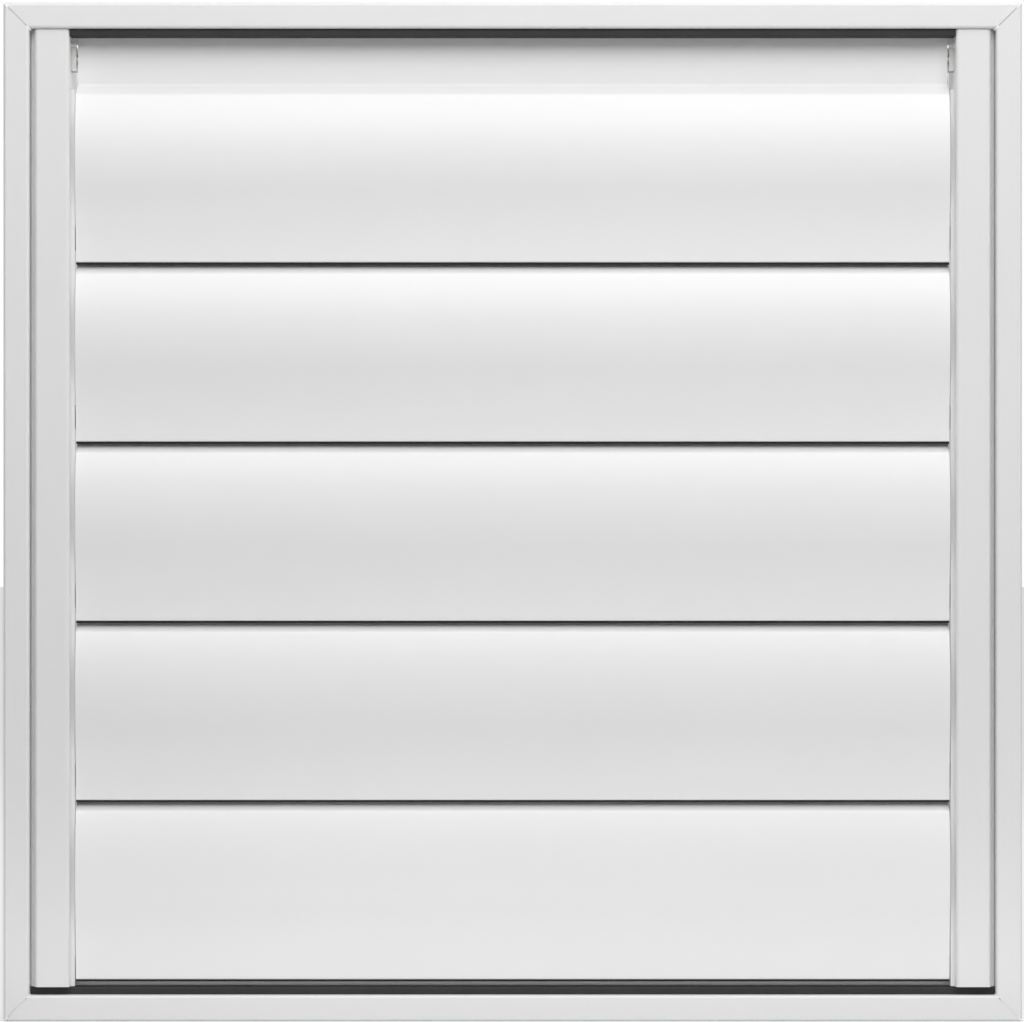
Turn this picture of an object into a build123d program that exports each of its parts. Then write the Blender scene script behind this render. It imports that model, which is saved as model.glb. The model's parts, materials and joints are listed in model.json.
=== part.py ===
from build123d import *
from math import cos, radians, sin, tan
import os

# Gravity exhaust shutter for a wall: mitred frame, two pivot rails, five linked blades.
# X runs to the right seen from outdoors, Y into the wall, Z up. Wall face at Y = 0.

# Frame bars, one extruded section on all four sides
frame_width = 457.2
frame_height = 457.2
flange_width = 11.6
flange_proud = 4.0
flange_wall = 1.8
flange_edge_radius = 1.4
sleeve_wall = 1.6
sleeve_depth = 42.0
sleeve_lip = 3.0
mitre_gap = 0.3

# Fixing screws through the head and the sill
screw_hole_diameter = 5.5
screw_spacing = 300.0
screw_from_rear = 8.0

# Flat keys pressed behind the flange at the mitres
key_leg = 38.0
key_thickness = 1.8
key_clearance = 0.1

# Pivot rails, the vertical strips that carry the blades
rail_width = 15.8
rail_wall = 1.4
rail_groove = 2.2
rail_setback = 1.6
rail_bend_radius = 1.8
rail_depth = 36.0
rail_joggle_start = 0.8
rail_joggle_run = 1.6
rail_end_gap = 0.3
rail_fin_front = 2.0
rail_fin_wall = 1.2
rail_fin_gap = 0.4

# Seals at the head and the sill
head_seal_thickness = 3.4
head_seal_front = -2.0
head_seal_gap = 0.35
sill_seal_thickness = 3.3
sill_seal_front = 1.0
seal_end_gap = 0.2

# Blades
blade_count = 5
blade_wall = 1.2
blade_end_gap = 2.4
blade_setback = 1.0
head_gap = 2.0
sill_gap = 6.6
upstand_height = 21.9
pivot_below_top = 10.8
upstand_relief = 0.5
blade_corner_radius = 1.2
blade_corner_drop = 0.6

# Blade face: ledge under the seam, convex roll, then a flare to the lower edge
ledge_height = 5.8
ledge_slope = 45.0
cove_radius = 1.5
shoulder_radius = 3.0
roll_share = 0.56
roll_slope = 18.0
turn_slope = 10.0
flare_slope = 1.0

# Pin port along the blade, with the slot for the link lug above it
port_radius = 3.6
port_slot = 2.4
hook_wall = 1.1
hook_lip = 2.4
lug_slot = 1.9
rib_height = 1.0

# Groove for the seal behind the blade's lower edge
hem_height = 5.5
hem_wall = 1.1
hem_groove = 1.8
hem_leg = 4.1
blade_seal_drop = 1.1
blade_seal_clearance = 0.1
blade_seal_chamfer = 0.5
wiper_thickness = 1.0
wiper_rise = 0.2
wiper_gap = 0.35

# Pivot pins, and the square snap-in bushes they turn in
pin_diameter = 4.0
pin_in_blade = 14.0
pin_past_rail = 4.0
press_clearance = 0.02
running_clearance = 0.05
bush_flange_width = 8.0
bush_flange_height = 10.8
bush_end_gap = 0.7
bush_spigot_width = 6.4
bush_past_rail = 1.0

# Linkage behind the blades
link_back = 18.4
link_rise = 8.2
link_pin_diameter = 4.0
link_head_width = 7.0
link_head = 1.4
link_side_gap = 0.3
lug_length = 8.0
lug_boss_radius = 4.0
lug_clearance = 0.05
tie_bar_width = 6.4
tie_bar_thickness = 2.0

# Stop behind the bottom blade
stop_height = 17.0
stop_depth = 19.0
stop_wall = 1.4
stop_end_gap = 0.5

# Blind rivets, drawn with a few flats
rivet_diameter = 3.2
rivet_head_diameter = 6.4
rivet_head = 1.0
rivet_head_taper = 30.0
rivet_tail_diameter = 4.6
rivet_tail = 1.6
rivet_clearance = 0.05
rivet_sides = 8
rail_rivet_spacing = 160.0
rail_rivet_depth = 27.0
stop_rivet_spacing = 130.0
rivets_in_row = 3

# Places worked out from the sizes above
half_width = frame_width / 2
half_height = frame_height / 2
inner_half_width = half_width - flange_width
inner_half_height = half_height - flange_width
flange_face = -flange_proud
flange_back = flange_face + flange_wall

rail_face = flange_face + rail_setback
rail_outer = inner_half_width - rail_groove
rail_inner = rail_outer - rail_width
rail_rear = rail_face + rail_depth
rail_top = inner_half_height - rail_end_gap
rail_bottom = -inner_half_height + sill_seal_thickness + rail_end_gap

clear_height = 2 * inner_half_height - head_gap - sill_gap
blade_pitch = (clear_height - upstand_height) / blade_count
face_height = blade_pitch - ledge_height
blade_half = rail_inner - blade_end_gap
upstand_half = blade_half - upstand_relief
blade_top = pivot_below_top
ledge_top = blade_top - upstand_height
blade_bottom = ledge_top - blade_pitch
top_pivot = inner_half_height - head_gap - pivot_below_top
pivot_heights = [top_pivot - n * blade_pitch for n in range(blade_count)]
rail_fin_top = top_pivot + ledge_top - ledge_height / 2


def slope_sine_gap(high, low):
    """Height of an arc of unit radius that turns between two slopes from upright."""
    return sin(radians(high)) - sin(radians(low))


ledge_run = (
    ledge_height
    - cove_radius * slope_sine_gap(ledge_slope, 0)
    - shoulder_radius * slope_sine_gap(ledge_slope, roll_slope)
) / cos(radians(ledge_slope))
roll_radius = roll_share * face_height / slope_sine_gap(roll_slope, -turn_slope)
flare_radius = (1 - roll_share) * face_height / slope_sine_gap(flare_slope, -turn_slope)

upstand_front = -port_radius
ledge_out = (
    cove_radius * (1 - cos(radians(ledge_slope)))
    + ledge_run * sin(radians(ledge_slope))
    + shoulder_radius * (cos(radians(roll_slope)) - cos(radians(ledge_slope)))
)
roll_out = roll_radius * (1 - cos(radians(roll_slope)))
turn_back = roll_radius * (1 - cos(radians(turn_slope)))
flare_back = flare_radius * (cos(radians(flare_slope)) - cos(radians(turn_slope)))
crest = upstand_front - ledge_out - roll_out
foot_front = crest + turn_back + flare_back
pivot_depth = rail_face + blade_setback - crest

lip_front = upstand_front + blade_wall + lug_slot
lip_rear = lip_front + hook_wall
lip_bottom = blade_top - hook_lip
rib_top = port_radius + rib_height
hem_top = blade_bottom + hem_height
groove_front = foot_front + blade_wall + hem_height * tan(radians(flare_slope))
groove_rear = groove_front + hem_groove
stop_front = pivot_depth + upstand_front
bush_hole_width = bush_spigot_width + 2 * press_clearance


def row(count, spacing):
    """Places of a centred row along one line."""
    return [(n - (count - 1) / 2) * spacing for n in range(count)]


rail_rivet_heights = row(rivets_in_row, rail_rivet_spacing)
stop_rivet_places = row(rivets_in_row, stop_rivet_spacing)
screw_places = row(2, screw_spacing)
stop_rivet_depth = stop_front + stop_depth / 2
screw_depth = sleeve_depth - screw_from_rear
rivet_hole_radius = rivet_diameter / 2 + rivet_clearance


def section_plane(pivot_height, x=0):
    """Plane across the blades at one pivot: its own x is the depth, its own y the height."""
    return Plane(origin=(x, pivot_depth, pivot_height), x_dir=(0, 1, 0), z_dir=(1, 0, 0))


def keep(part, name):
    """Label a finished piece and write it."""
    part.label = name
    export_step(part, f"parts/{name}.step")


def make_frame_bar(outward, half_out, half_along, screw_holes, rivet_holes):
    """One mitred bar; its holes are places (along the bar, towards the front) on its sleeve."""
    along = outward.cross(Vector(0, 1, 0))
    inner = half_out - flange_width
    with BuildPart() as bar:
        with BuildSketch(Plane(origin=(0, 0, 0), x_dir=outward, z_dir=along)):
            with BuildLine():
                Polyline(
                    (half_out, 0),
                    (half_out, flange_face),
                    (inner, flange_face),
                    (inner, sleeve_depth - sleeve_wall),
                    (inner - sleeve_lip, sleeve_depth - sleeve_wall),
                    (inner - sleeve_lip, sleeve_depth),
                    (inner + sleeve_wall, sleeve_depth),
                    (inner + sleeve_wall, flange_back),
                    (half_out - flange_wall, flange_back),
                    (half_out - flange_wall, 0),
                    close=True,
                )
            make_face()
        extrude(amount=half_along, both=True)
        front_edges = bar.faces().sort_by(Axis.Y)[0].edges().filter_by(Axis(Vector(), along))
        fillet(front_edges, radius=flange_edge_radius)
        for end in (along, -along):
            normal = (end - outward).normalized()
            corner = outward * half_out + end * half_along
            split(bisect_by=Plane(origin=corner - normal * mitre_gap / 2, z_dir=normal), keep=Keep.BOTTOM)
        with BuildSketch(Plane(origin=outward * inner, x_dir=along, z_dir=outward)):
            if screw_holes:
                with Locations(*screw_holes):
                    Circle(screw_hole_diameter / 2)
            if rivet_holes:
                with Locations(*rivet_holes):
                    RegularPolygon(rivet_hole_radius, rivet_sides)
        extrude(amount=sleeve_wall, mode=Mode.SUBTRACT)
    return bar.part


def make_corner_key(side, level):
    """Flat L behind the flange at one corner; side and level are the signs of X and Z."""
    reach = flange_wall + key_clearance
    outer_x = half_width - reach
    outer_z = half_height - reach
    inner_x = inner_half_width + sleeve_wall + key_clearance
    inner_z = inner_half_height + sleeve_wall + key_clearance
    outline = [
        (outer_x, outer_z),
        (outer_x, outer_z - key_leg),
        (inner_x, outer_z - key_leg),
        (inner_x, inner_z),
        (outer_x - key_leg, inner_z),
        (outer_x - key_leg, outer_z),
    ]
    with BuildPart() as key:
        with BuildSketch(Plane.XZ.offset(-flange_back)):
            with BuildLine():
                Polyline(*[(side * x, level * z) for x, z in outline], close=True)
            make_face()
        extrude(amount=-key_thickness)
    return key.part


def make_pivot_rail():
    """Right-hand rail: a channel joggled on to the stile, with a fin behind the blades' end gap."""
    with BuildPart() as rail:
        with BuildSketch(Plane.XY.offset(rail_bottom)):
            with BuildLine():
                FilletPolyline(
                    (rail_inner, rail_rear),
                    (rail_inner, rail_face),
                    (rail_outer, rail_face),
                    (rail_outer, rail_joggle_start),
                    (inner_half_width, rail_joggle_start + rail_joggle_run),
                    (inner_half_width, rail_rear),
                    radius=rail_bend_radius,
                )
                offset(amount=rail_wall, side=Side.LEFT)
            make_face()
        extrude(amount=rail_top - rail_bottom)
        with BuildSketch(Plane.XY.offset(rail_bottom)):
            with Locations((rail_inner, rail_fin_front)):
                Rectangle(blade_end_gap - rail_fin_gap, rail_fin_wall, align=(Align.MAX, Align.MIN))
        extrude(amount=rail_fin_top - rail_bottom)
        with BuildSketch(Plane.YZ.offset(rail_inner)):
            with Locations(*[(pivot_depth, height) for height in pivot_heights]):
                Rectangle(bush_hole_width, bush_hole_width)
        extrude(amount=rail_wall, mode=Mode.SUBTRACT)
        with BuildSketch(Plane.YZ.offset(inner_half_width)):
            with Locations(*[(rail_rivet_depth, height) for height in rail_rivet_heights]):
                RegularPolygon(rivet_hole_radius, rivet_sides)
        extrude(amount=-rail_wall, mode=Mode.SUBTRACT)
    return rail.part


def make_rivets(places, inward, grip):
    """Row of blind rivets; each place is the middle of its head's seat, the grip lies inward."""
    with BuildPart() as rivets:
        for place in places:
            seat = Plane(origin=place, z_dir=inward)
            with BuildSketch(seat):
                RegularPolygon(rivet_head_diameter / 2, rivet_sides)
            extrude(amount=-rivet_head, taper=rivet_head_taper)
            with BuildSketch(seat):
                RegularPolygon(rivet_diameter / 2, rivet_sides)
            extrude(amount=grip)
            with BuildSketch(seat.offset(grip)):
                RegularPolygon(rivet_tail_diameter / 2, rivet_sides)
            extrude(amount=rivet_tail)
    return rivets.part


def make_bush(height):
    """Nylon bush in the right-hand rail, square so that it can't turn there."""
    with BuildPart() as bush:
        with BuildSketch(section_plane(height, rail_inner)):
            Rectangle(bush_flange_width, bush_flange_height)
        extrude(amount=-(rail_inner - upstand_half - bush_end_gap))
        with BuildSketch(section_plane(height, rail_inner)):
            Rectangle(bush_spigot_width, bush_spigot_width)
        extrude(amount=rail_wall + bush_past_rail)
        with BuildSketch(section_plane(height, rail_inner)):
            Circle(pin_diameter / 2 + running_clearance)
        extrude(amount=rail_width, both=True, mode=Mode.SUBTRACT)
    return bush.part


def make_pivot_pin(height):
    """Plain pin in the blade's port at the right-hand end."""
    with BuildPart() as pin:
        with BuildSketch(section_plane(height, upstand_half - pin_in_blade)):
            Circle(pin_diameter / 2)
        extrude(amount=pin_in_blade + rail_inner - upstand_half + pin_past_rail)
    return pin.part


def make_blade(height):
    """Extruded blade with an ogee face, a pin port, a lug slot and a seal groove."""
    with BuildPart() as blade:
        with BuildSketch(section_plane(height)):
            with BuildLine():
                upstand = Line((upstand_front, blade_top), (upstand_front, ledge_top))
                cove = JernArc(upstand @ 1, upstand % 1, cove_radius, -ledge_slope)
                ledge = Line(cove @ 1, (cove @ 1) + (cove % 1) * ledge_run)
                shoulder = JernArc(ledge @ 1, ledge % 1, shoulder_radius, ledge_slope - roll_slope)
                roll = JernArc(shoulder @ 1, shoulder % 1, roll_radius, roll_slope + turn_slope)
                JernArc(roll @ 1, roll % 1, flare_radius, -turn_slope - flare_slope)
                offset(amount=blade_wall, side=Side.LEFT)
            make_face()
            Circle(port_radius)
            with Locations((upstand_front, blade_top)):
                Rectangle(lip_rear - upstand_front, hook_wall, align=(Align.MIN, Align.MAX))
            with Locations((lip_front, blade_top)):
                Rectangle(hook_wall, hook_lip, align=(Align.MIN, Align.MAX))
            with Locations((lip_front, rib_top)):
                Rectangle(hook_wall, 2 * rib_height, align=(Align.MIN, Align.MAX))
            with Locations((groove_rear + hem_wall, hem_top)):
                Rectangle(hem_groove + hem_wall + blade_wall / 2, hem_wall, align=(Align.MAX, Align.MAX))
                Rectangle(hem_wall, hem_leg, align=(Align.MAX, Align.MAX))
            Circle(pin_diameter / 2 + press_clearance, mode=Mode.SUBTRACT)
            Rectangle(port_radius, port_slot, align=(Align.MIN, Align.CENTER), mode=Mode.SUBTRACT)
        extrude(amount=blade_half, both=True)
        with BuildSketch(Plane((0, pivot_depth, height), x_dir=(1, 0, 0), z_dir=(0, -1, 0))) as outline:
            with Locations((0, ledge_top - blade_corner_drop)):
                Rectangle(2 * blade_half, 2 * blade_pitch, align=(Align.CENTER, Align.MAX))
            fillet(outline.vertices().group_by(Axis.Z)[-1], radius=blade_corner_radius)
            Rectangle(2 * upstand_half, 2 * blade_pitch)
        extrude(amount=sleeve_depth, both=True, mode=Mode.INTERSECT)
    return blade.part


def make_blade_seal(height):
    """Rubber strip in the hem groove, with a wiper that closes on what lies below."""
    body_width = hem_groove - 2 * blade_seal_clearance
    body_height = hem_height - hem_wall + blade_seal_drop
    wiper_reach = upstand_front - wiper_gap - groove_rear
    with BuildPart() as seal:
        with BuildSketch(section_plane(height)) as section:
            with Locations((groove_front + blade_seal_clearance, hem_top - hem_wall)):
                Rectangle(body_width, body_height, align=(Align.MIN, Align.MAX))
            chamfer(section.vertices().group_by(Axis.Z)[0], length=blade_seal_chamfer)
            with Locations((groove_rear + wiper_reach, blade_bottom + wiper_rise)):
                Rectangle(wiper_reach + hem_groove / 2, wiper_thickness, align=(Align.MAX, Align.MIN))
        extrude(amount=blade_half, both=True)
    return seal.part


def make_link_lug(height):
    """Slice of a second extrusion: toe in the blade's slot, arm, and boss for the link pin."""
    toe_front = upstand_front + blade_wall + lug_clearance
    toe_rear = lip_front - lug_clearance
    neck_low = rib_top + lug_clearance
    neck_high = lip_bottom - lug_clearance
    toe_low = port_radius + lug_clearance
    toe_high = blade_top - hook_wall - lug_clearance
    arm_start = lip_rear + lug_clearance
    with BuildPart() as lug:
        with BuildSketch(section_plane(height, tie_bar_thickness / 2 + link_side_gap)):
            with Locations((arm_start, neck_low)):
                Rectangle(hook_wall, neck_high - neck_low, align=(Align.MIN, Align.MIN))
            with Locations((link_back, link_rise)):
                Circle(lug_boss_radius)
            make_hull()
            with Locations((toe_front, toe_low)):
                Rectangle(toe_rear - toe_front, toe_high - toe_low, align=(Align.MIN, Align.MIN))
            with Locations((toe_front, neck_low)):
                Rectangle(arm_start - toe_front, neck_high - neck_low, align=(Align.MIN, Align.MIN))
            with Locations((link_back, link_rise)):
                Circle(link_pin_diameter / 2 + press_clearance, mode=Mode.SUBTRACT)
        extrude(amount=lug_length)
    return lug.part


def make_link_pin(height):
    """Pin with a hexagon head, through the tie bar and one lug."""
    head_seat = -tie_bar_thickness / 2 - link_side_gap
    grip = tie_bar_thickness + 2 * link_side_gap + lug_length
    with BuildPart() as pin:
        with BuildSketch(section_plane(height, head_seat)):
            with Locations((link_back, link_rise)):
                RegularPolygon(link_head_width / 2, side_count=6, major_radius=False)
        extrude(amount=-link_head)
        with BuildSketch(section_plane(height, head_seat)):
            with Locations((link_back, link_rise)):
                Circle(link_pin_diameter / 2)
        extrude(amount=grip + link_head / 2)
    return pin.part


def make_tie_bar():
    """Flat bar with one running hole for each link pin."""
    reach = blade_pitch * (blade_count - 1)
    middle = sum(pivot_heights) / blade_count
    with BuildPart() as bar:
        with BuildSketch(section_plane(middle)):
            with Locations((link_back, link_rise)):
                SlotCenterToCenter(reach, tie_bar_width, rotation=90)
            with Locations(*[(link_back, link_rise + place) for place in row(blade_count, blade_pitch)]):
                Circle(link_pin_diameter / 2 + running_clearance, mode=Mode.SUBTRACT)
        extrude(amount=tie_bar_thickness / 2, both=True)
    return bar.part


def make_sill_stop():
    """Angle on the sill that the bottom blade's seal closes on."""
    half_length = rail_inner - stop_end_gap
    with BuildPart() as stop:
        with BuildSketch(Plane.YZ):
            with Locations((stop_front, -inner_half_height)):
                Rectangle(stop_wall, stop_height, align=(Align.MIN, Align.MIN))
                Rectangle(stop_depth, stop_wall, align=(Align.MIN, Align.MIN))
        extrude(amount=half_length, both=True)
        with BuildSketch(Plane.XY.offset(-inner_half_height)):
            with Locations(*[(place, stop_rivet_depth) for place in stop_rivet_places]):
                RegularPolygon(rivet_hole_radius, rivet_sides)
        extrude(amount=stop_wall, mode=Mode.SUBTRACT)
    return stop.part


def make_seal_strip(half_length, front, width, seat_height, thickness):
    """Flat rubber strip on the head or the sill; thickness is signed, away from its seat."""
    with BuildPart() as strip:
        with BuildSketch(Plane.XY.offset(seat_height)):
            with Locations((0, front)):
                Rectangle(2 * half_length, width, align=(Align.CENTER, Align.MIN))
        extrude(amount=thickness)
    return strip.part


def make_mirrored(source):
    """The same piece on the left-hand side."""
    with BuildPart() as copy:
        mirror(source, about=Plane.YZ)
    return copy.part


os.makedirs("parts", exist_ok=True)

# Frame
screw_holes = [(place, -screw_depth) for place in screw_places]
stop_holes = [(place, -stop_rivet_depth) for place in stop_rivet_places]
rail_holes = [(place, -rail_rivet_depth) for place in rail_rivet_heights]
keep(make_frame_bar(Vector(0, 0, 1), half_height, half_width, screw_holes, []), "head_rail")
keep(make_frame_bar(Vector(0, 0, -1), half_height, half_width, screw_holes, stop_holes), "sill_rail")
keep(make_frame_bar(Vector(-1, 0, 0), half_width, half_height, [], rail_holes), "left_stile")
keep(make_frame_bar(Vector(1, 0, 0), half_width, half_height, [], rail_holes), "right_stile")
for number, (side, level) in enumerate([(-1, 1), (1, 1), (-1, -1), (1, -1)], start=1):
    keep(make_corner_key(side, level), f"corner_key_{number}")

# Pivot rails and their rivets
right_rail = make_pivot_rail()
keep(right_rail, "right_pivot_rail")
keep(make_mirrored(right_rail), "left_pivot_rail")
for name, side in (("left", -1), ("right", 1)):
    seats = [(side * (inner_half_width + sleeve_wall), rail_rivet_depth, z) for z in rail_rivet_heights]
    keep(make_rivets(seats, (-side, 0, 0), sleeve_wall + rail_wall), f"{name}_rail_rivets")

# Sill stop and its rivets, and the two fixed seals
keep(make_sill_stop(), "sill_stop")
stop_seats = [(x, stop_rivet_depth, -inner_half_height + stop_wall) for x in stop_rivet_places]
keep(make_rivets(stop_seats, (0, 0, -1), sleeve_wall + stop_wall), "sill_stop_rivets")
head_seal_half = rail_inner - seal_end_gap
sill_seal_half = inner_half_width - seal_end_gap
head_seal_width = stop_front - head_seal_gap - head_seal_front
sill_seal_width = stop_front - sill_seal_front
head_seal = (head_seal_half, head_seal_front, head_seal_width, inner_half_height, -head_seal_thickness)
sill_seal = (sill_seal_half, sill_seal_front, sill_seal_width, -inner_half_height, sill_seal_thickness)
keep(make_seal_strip(*head_seal), "head_seal")
keep(make_seal_strip(*sill_seal), "sill_seal")

# Blades from the top down, each with its seal, pins, bushes and link pieces
for number, height in enumerate(pivot_heights, start=1):
    keep(make_blade(height), f"blade_{number}")
    keep(make_blade_seal(height), f"blade_seal_{number}")
    keep(make_link_lug(height), f"link_lug_{number}")
    keep(make_link_pin(height), f"link_pin_{number}")
    bush = make_bush(height)
    keep(bush, f"right_bush_{number}")
    keep(make_mirrored(bush), f"left_bush_{number}")
    pin = make_pivot_pin(height)
    keep(pin, f"right_pin_{number}")
    keep(make_mirrored(pin), f"left_pin_{number}")
keep(make_tie_bar(), "tie_bar")
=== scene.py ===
import json
import logging
import math
from dataclasses import dataclass, field, replace
from enum import Enum
from typing import Any, Callable, Iterable, Sequence

import bmesh
import bpy
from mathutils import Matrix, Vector

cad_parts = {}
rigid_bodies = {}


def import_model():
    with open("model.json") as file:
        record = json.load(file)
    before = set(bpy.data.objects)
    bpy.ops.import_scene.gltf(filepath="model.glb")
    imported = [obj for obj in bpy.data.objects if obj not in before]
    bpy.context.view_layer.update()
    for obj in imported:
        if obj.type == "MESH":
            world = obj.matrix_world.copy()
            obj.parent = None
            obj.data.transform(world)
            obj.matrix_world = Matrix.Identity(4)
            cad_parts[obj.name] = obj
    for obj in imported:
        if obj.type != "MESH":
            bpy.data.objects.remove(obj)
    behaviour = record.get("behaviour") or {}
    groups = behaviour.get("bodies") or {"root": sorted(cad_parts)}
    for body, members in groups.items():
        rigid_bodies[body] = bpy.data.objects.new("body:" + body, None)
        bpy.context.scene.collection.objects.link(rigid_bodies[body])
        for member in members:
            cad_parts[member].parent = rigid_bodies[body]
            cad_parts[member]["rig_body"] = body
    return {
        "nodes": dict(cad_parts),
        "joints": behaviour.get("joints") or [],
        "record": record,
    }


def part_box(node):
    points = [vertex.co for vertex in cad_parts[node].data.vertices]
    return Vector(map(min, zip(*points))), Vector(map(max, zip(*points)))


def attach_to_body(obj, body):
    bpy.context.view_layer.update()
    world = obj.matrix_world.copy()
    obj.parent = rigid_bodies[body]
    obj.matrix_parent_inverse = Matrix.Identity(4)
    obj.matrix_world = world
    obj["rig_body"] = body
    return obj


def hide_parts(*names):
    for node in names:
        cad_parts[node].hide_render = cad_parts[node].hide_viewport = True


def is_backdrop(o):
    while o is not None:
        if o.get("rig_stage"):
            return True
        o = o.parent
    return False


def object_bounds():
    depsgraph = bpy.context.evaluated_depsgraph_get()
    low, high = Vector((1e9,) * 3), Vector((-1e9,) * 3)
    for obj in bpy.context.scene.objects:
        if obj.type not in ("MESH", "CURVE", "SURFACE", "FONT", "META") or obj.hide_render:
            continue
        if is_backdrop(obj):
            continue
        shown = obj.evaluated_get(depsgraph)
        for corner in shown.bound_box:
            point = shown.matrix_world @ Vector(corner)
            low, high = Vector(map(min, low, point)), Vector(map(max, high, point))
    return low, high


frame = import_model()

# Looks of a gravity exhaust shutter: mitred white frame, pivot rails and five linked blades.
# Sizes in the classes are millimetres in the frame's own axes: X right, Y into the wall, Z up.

LOG = logging.getLogger("exhaust_shutter")
MM = 0.001
# Points closer than this, in metres, are one point
WELD_DISTANCE = 1e-7
# An edge that folds more than this, in radians, stays sharp
SHARP_FOLD = 0.6
# Noise runs from 0 to 1 about this value
NOISE_MIDDLE = 0.5
Point = tuple[float, float]
Colour = tuple[float, float, float]
Place = tuple[float, float, float]


class Turn(Enum):
    """Which side of the square opening an extruded piece lies on, as degrees about Y."""

    HEAD = 0.0
    RIGHT = 90.0
    SILL = 180.0
    LEFT = 270.0


class NodePen:
    """Adds nodes to one node tree and joins their sockets."""

    def __init__(self, tree: bpy.types.NodeTree) -> None:
        """Takes the tree to draw in."""
        self.tree = tree
        self.source: bpy.types.Node | None = None
        self.sink: bpy.types.Node | None = None

    @classmethod
    def group(cls, name: str, kind: str) -> "NodePen":
        """Starts a new node group.

        Args:
            name: The group's name.
            kind: Its type, such as GeometryNodeTree.

        Returns:
            A pen for it, with a group input and a group output.
        """
        pen = cls(bpy.data.node_groups.new(name, kind))
        pen.source = pen.node("NodeGroupInput")
        pen.sink = pen.node("NodeGroupOutput")
        return pen

    def takes(self, name: str, kind: str, default: Any = None) -> bpy.types.NodeSocket:
        """Adds a named input to the group and returns the socket that carries it."""
        item = self.tree.interface.new_socket(name, in_out="INPUT", socket_type=kind)
        if default is not None:
            item.default_value = default
        return self.source.outputs[name]

    def gives(self, name: str, kind: str, socket: bpy.types.NodeSocket) -> None:
        """Adds a named output to the group, fed by a socket."""
        self.tree.interface.new_socket(name, in_out="OUTPUT", socket_type=kind)
        self.join(socket, self.sink.inputs[name])

    def node(self, kind: str, inputs: dict[Any, Any] | None = None, **settings: Any) -> bpy.types.Node:
        """Adds a node.

        Args:
            kind: Its type, such as ShaderNodeMath.
            inputs: Values or sockets by input name or number.
            settings: Its own properties.

        Returns:
            The node.
        """
        made = self.tree.nodes.new(kind)
        for name, value in settings.items():
            setattr(made, name, value)
        for name, value in (inputs or {}).items():
            self.feed(made.inputs[name], value)
        return made

    def feed(self, target: bpy.types.NodeSocket, value: Any) -> None:
        """Links a socket to an input, or sets the input's own value."""
        if isinstance(value, bpy.types.NodeSocket):
            self.join(value, target)
        else:
            target.default_value = value

    def join(self, source: bpy.types.NodeSocket, target: bpy.types.NodeSocket) -> None:
        """Links two sockets."""
        self.tree.links.new(source, target)

    def maths(self, operation: str, *values: Any) -> bpy.types.NodeSocket:
        """Adds a Math node on values or sockets and returns its result."""
        return self.node("ShaderNodeMath", dict(enumerate(values)), operation=operation).outputs[0]


def set_input(modifier: bpy.types.NodesModifier, name: str, value: Any) -> None:
    """Sets a Geometry Nodes modifier's input by the identifier of the socket with that name."""
    for item in modifier.node_group.interface.items_tree:
        if item.item_type == "SOCKET" and item.in_out == "INPUT" and item.name == name:
            modifier[item.identifier] = value
            return
    raise KeyError(name)


# Sections


@dataclass
class SectionLine:
    """A line of straight runs and tangent arcs in the plane of a section.

    Points are (depth, height); the heading is in degrees from the depth axis towards the height axis.
    """

    start: Point
    heading: float
    points: list[Point] = field(init=False)
    headings: list[float] = field(init=False)

    def __post_init__(self) -> None:
        """Starts the line at its first point."""
        self.points = [self.start]
        self.headings = [self.heading]

    def run(self, length: float) -> "SectionLine":
        """Adds a straight run and returns the line."""
        angle = math.radians(self.heading)
        depth, height = self.points[-1]
        self.points.append((depth + length * math.cos(angle), height + length * math.sin(angle)))
        self.headings.append(self.heading)
        return self

    def bend(self, radius: float, degrees: float, step: float = 6.0) -> "SectionLine":
        """Adds a tangent arc.

        Args:
            radius: The arc's radius.
            degrees: How far it turns, positive to the left.
            step: The largest turn between two points.

        Returns:
            The line itself.
        """
        count = max(2, math.ceil(abs(degrees) / step))
        side = math.copysign(1.0, degrees)
        depth, height = self.points[-1]
        angle = math.radians(self.heading)
        middle = (depth - side * radius * math.sin(angle), height + side * radius * math.cos(angle))
        for number in range(1, count + 1):
            turned = angle + math.radians(degrees) * number / count
            self.points.append(
                (middle[0] + side * radius * math.sin(turned), middle[1] - side * radius * math.cos(turned))
            )
            self.headings.append(math.degrees(turned))
        self.heading += degrees
        return self

    def beside(self, distance: float) -> list[Point]:
        """Points of the parallel line that far to the left."""
        moved = []
        for (depth, height), heading in zip(self.points, self.headings):
            angle = math.radians(heading)
            moved.append((depth - distance * math.sin(angle), height + distance * math.cos(angle)))
        return moved


def arc(middle: Point, radius: float, first: float, last: float, step: float = 6.0) -> list[Point]:
    """Points of an arc.

    Args:
        middle: Its centre.
        radius: Its radius.
        first: The angle it starts at, in degrees from the depth axis.
        last: The angle it ends at; the arc runs straight from one to the other.
        step: The largest turn between two points.

    Returns:
        The points, both ends among them.
    """
    count = max(2, math.ceil(abs(last - first) / step))
    angles = [math.radians(first + (last - first) * n / count) for n in range(count + 1)]
    return [(middle[0] + radius * math.cos(a), middle[1] + radius * math.sin(a)) for a in angles]


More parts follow.
